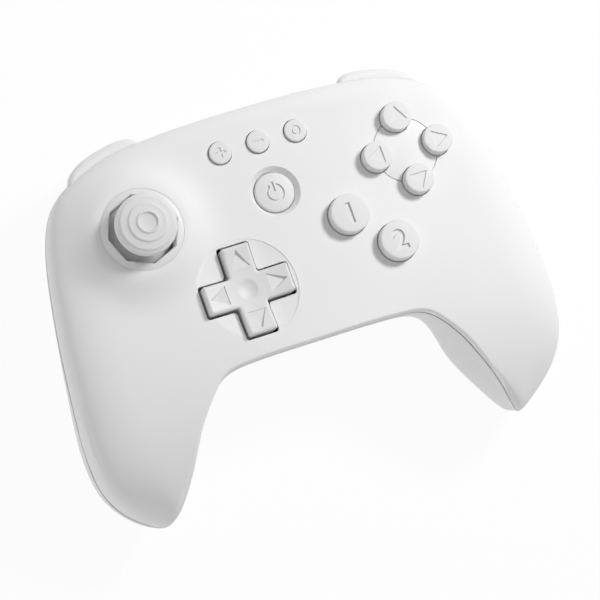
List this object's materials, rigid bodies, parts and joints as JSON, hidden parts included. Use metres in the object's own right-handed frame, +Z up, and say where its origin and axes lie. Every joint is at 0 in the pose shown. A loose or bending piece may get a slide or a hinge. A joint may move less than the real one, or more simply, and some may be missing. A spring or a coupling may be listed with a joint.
{
  "type": "gamepad controller",
  "caption": "Two-handed wireless gamepad with a stick, a directional pad, round face buttons, shoulder bumpers and hinged triggers, lying face up.",
  "frame": {"origin": "middle of the footprint, on the table that the pad lies on", "axes": "+X to the user's right across the grips, +Y to the shoulders, +Z up out of the face"},
  "size_m": [0.152, 0.1135, 0.0511],
  "materials": {
    "white_shell": "fine matte moulded plastic",
    "white_key": "smooth matte plastic",
    "gate_plastic": "smooth matte plastic",
    "stick_rubber": "soft-touch rubber",
    "silicone": "matte silicone",
    "light_guide": "clear moulded plastic",
    "dark_plastic": "matte",
    "steel": "plain drawn steel",
    "plated_steel": "plated",
    "board": "solder-masked laminate",
    "cell_wrap": "foil pouch",
    "foam": "foam tape"
  },
  "bodies": {
    "case": {"front_shell": "white_shell", "back_shell": "white_shell", "stick_gate_ring": "gate_plastic", "stick_housing": "dark_plastic", "dpad_post": "gate_plastic", "bumper_pin_left": "steel", "bumper_pin_right": "steel", "trigger_pin_left": "steel", "trigger_pin_right": "steel", "trigger_spring_left": "steel", "trigger_spring_right": "steel", "shoulder_bracket_left": "dark_plastic", "shoulder_bracket_right": "dark_plastic", "dpad_pad": "silicone", "action_pad": "silicone", "arrow_pad": "silicone", "menu_pad": "silicone", "main_board": "board", "usb_socket": "plated_steel", "pair_switch": "dark_plastic", "light_pipe": "light_guide", "battery_foam": "foam", "battery_cell": "cell_wrap", "motor_left": "steel", "motor_right": "steel", "case_screws": "steel"},
    "stick_yoke": {"stick_yoke": "dark_plastic"},
    "stick": {"stick_cap": "stick_rubber", "stick_shaft": "steel"},
    "dpad_rocker": {"dpad_ball": "steel"},
    "dpad": {"dpad": "white_key"},
    "centre_button": {"centre_button": "white_key"},
    "menu_button_left": {"menu_button_left": "white_key"},
    "menu_button_middle": {"menu_button_middle": "white_key"},
    "menu_button_right": {"menu_button_right": "white_key"},
    "action_button_1": {"action_button_1": "white_key"},
    "action_button_2": {"action_button_2": "white_key"},
    "arrow_button_up": {"arrow_button_up": "white_key"},
    "arrow_button_down": {"arrow_button_down": "white_key"},
    "arrow_button_left": {"arrow_button_left": "white_key"},
    "arrow_button_right": {"arrow_button_right": "white_key"},
    "bumper_left": {"bumper_left": "white_key"},
    "bumper_right": {"bumper_right": "white_key"},
    "trigger_left": {"trigger_left": "white_key"},
    "trigger_right": {"trigger_right": "white_key"},
    "pair_button": {"pair_button": "white_key"},
    "motor_weight_left": {"motor_weight_left": "steel"},
    "motor_weight_right": {"motor_weight_right": "steel"}
  },
  "joints": [
    {"name": "stick_fore_aft", "type": "hinge", "parent": "case", "child": "stick_yoke", "pos_m": [-0.0431, 0.02704, 0.02966], "axis": [1, 0, 0], "range_deg": [-13, 13], "stiffness_Nm_per_rad": 0.02},
    {"name": "stick_side", "type": "hinge", "parent": "stick_yoke", "child": "stick", "pos_m": [-0.0431, 0.02704, 0.02966], "axis": [0, 0.9936, -0.1132], "range_deg": [-13, 13], "stiffness_Nm_per_rad": 0.02},
    {"name": "dpad_fore_aft", "type": "hinge", "parent": "case", "child": "dpad_rocker", "pos_m": [-0.0182, 0.00205, 0.03734], "axis": [1, 0, 0], "range_deg": [-4, 4], "stiffness_Nm_per_rad": 0.05, "deforming": ["dpad_pad"]},
    {"name": "dpad_side", "type": "hinge", "parent": "dpad_rocker", "child": "dpad", "pos_m": [-0.0182, 0.00205, 0.03734], "axis": [0, 0.9936, -0.1132], "range_deg": [-4, 4], "stiffness_Nm_per_rad": 0.05, "deforming": ["dpad_pad"]},
    {"name": "centre_button_press", "type": "slide", "parent": "case", "child": "centre_button", "axis": [0, -0.1132, -0.9936], "range_m": [0, 0.0008], "stiffness_N_per_m": 300, "springref_m": -0.0004, "deforming": ["menu_pad"]},
    {"name": "menu_button_left_press", "type": "slide", "parent": "case", "child": "menu_button_left", "axis": [0, -0.1132, -0.9936], "range_m": [0, 0.0008], "stiffness_N_per_m": 300, "springref_m": -0.0004, "deforming": ["menu_pad"]},
    {"name": "menu_button_middle_press", "type": "slide", "parent": "case", "child": "menu_button_middle", "axis": [0, -0.1132, -0.9936], "range_m": [0, 0.0008], "stiffness_N_per_m": 300, "springref_m": -0.0004, "deforming": ["menu_pad"]},
    {"name": "menu_button_right_press", "type": "slide", "parent": "case", "child": "menu_button_right", "axis": [0, -0.1132, -0.9936], "range_m": [0, 0.0008], "stiffness_N_per_m": 300, "springref_m": -0.0004, "deforming": ["menu_pad"]},
    {"name": "action_button_1_press", "type": "slide", "parent": "case", "child": "action_button_1", "axis": [0, -0.1132, -0.9936], "range_m": [0, 0.0015], "stiffness_N_per_m": 300, "springref_m": -0.0004, "deforming": ["action_pad"]},
    {"name": "action_button_2_press", "type": "slide", "parent": "case", "child": "action_button_2", "axis": [0, -0.1132, -0.9936], "range_m": [0, 0.0015], "stiffness_N_per_m": 300, "springref_m": -0.0004, "deforming": ["action_pad"]},
    {"name": "arrow_button_up_press", "type": "slide", "parent": "case", "child": "arrow_button_up", "axis": [0, -0.1132, -0.9936], "range_m": [0, 0.0013], "stiffness_N_per_m": 300, "springref_m": -0.0004, "deforming": ["arrow_pad"]},
    {"name": "arrow_button_down_press", "type": "slide", "parent": "case", "child": "arrow_button_down", "axis": [0, -0.1132, -0.9936], "range_m": [0, 0.0013], "stiffness_N_per_m": 300, "springref_m": -0.0004, "deforming": ["arrow_pad"]},
    {"name": "arrow_button_left_press", "type": "slide", "parent": "case", "child": "arrow_button_left", "axis": [0, -0.1132, -0.9936], "range_m": [0, 0.0013], "stiffness_N_per_m": 300, "springref_m": -0.0004, "deforming": ["arrow_pad"]},
    {"name": "arrow_button_right_press", "type": "slide", "parent": "case", "child": "arrow_button_right", "axis": [0, -0.1132, -0.9936], "range_m": [0, 0.0013], "stiffness_N_per_m": 300, "springref_m": -0.0004, "deforming": ["arrow_pad"]},
    {"name": "bumper_left_press", "type": "hinge", "parent": "case", "child": "bumper_left", "pos_m": [-0.0275, 0.04725, 0.02595], "axis": [0, 0.1132, 0.9936], "range_deg": [0, 2.5], "stiffness_Nm_per_rad": 0.2, "springref_deg": -1.15},
    {"name": "bumper_right_press", "type": "hinge", "parent": "case", "child": "bumper_right", "pos_m": [0.0275, 0.04725, 0.02595], "axis": [0, -0.1132, -0.9936], "range_deg": [0, 2.5], "stiffness_Nm_per_rad": 0.2, "springref_deg": -1.15},
    {"name": "trigger_left_pull", "type": "hinge", "parent": "case", "child": "trigger_left", "pos_m": [-0.041, 0.04049, 0.01957], "axis": [-1, 0, 0], "range_deg": [0, 14], "stiffness_Nm_per_rad": 0.06, "springref_deg": -8.59, "deforming": ["trigger_spring_left"]},
    {"name": "trigger_right_pull", "type": "hinge", "parent": "case", "child": "trigger_right", "pos_m": [0.041, 0.04049, 0.01957], "axis": [-1, 0, 0], "range_deg": [0, 14], "stiffness_Nm_per_rad": 0.06, "springref_deg": -8.59, "deforming": ["trigger_spring_right"]},
    {"name": "pair_button_press", "type": "slide", "parent": "case", "child": "pair_button", "axis": [0, -0.9936, 0.1132], "range_m": [0, 0.0006], "stiffness_N_per_m": 300, "springref_m": -0.0004},
    {"name": "motor_weight_left_spin", "type": "hinge", "parent": "case", "child": "motor_weight_left", "pos_m": [-0.062, -0.02181, 0.0161], "axis": [0, 0.9936, -0.1132], "continuous": true},
    {"name": "motor_weight_right_spin", "type": "hinge", "parent": "case", "child": "motor_weight_right", "pos_m": [0.062, -0.02181, 0.0161], "axis": [0, 0.9936, -0.1132], "continuous": true}
  ]
}
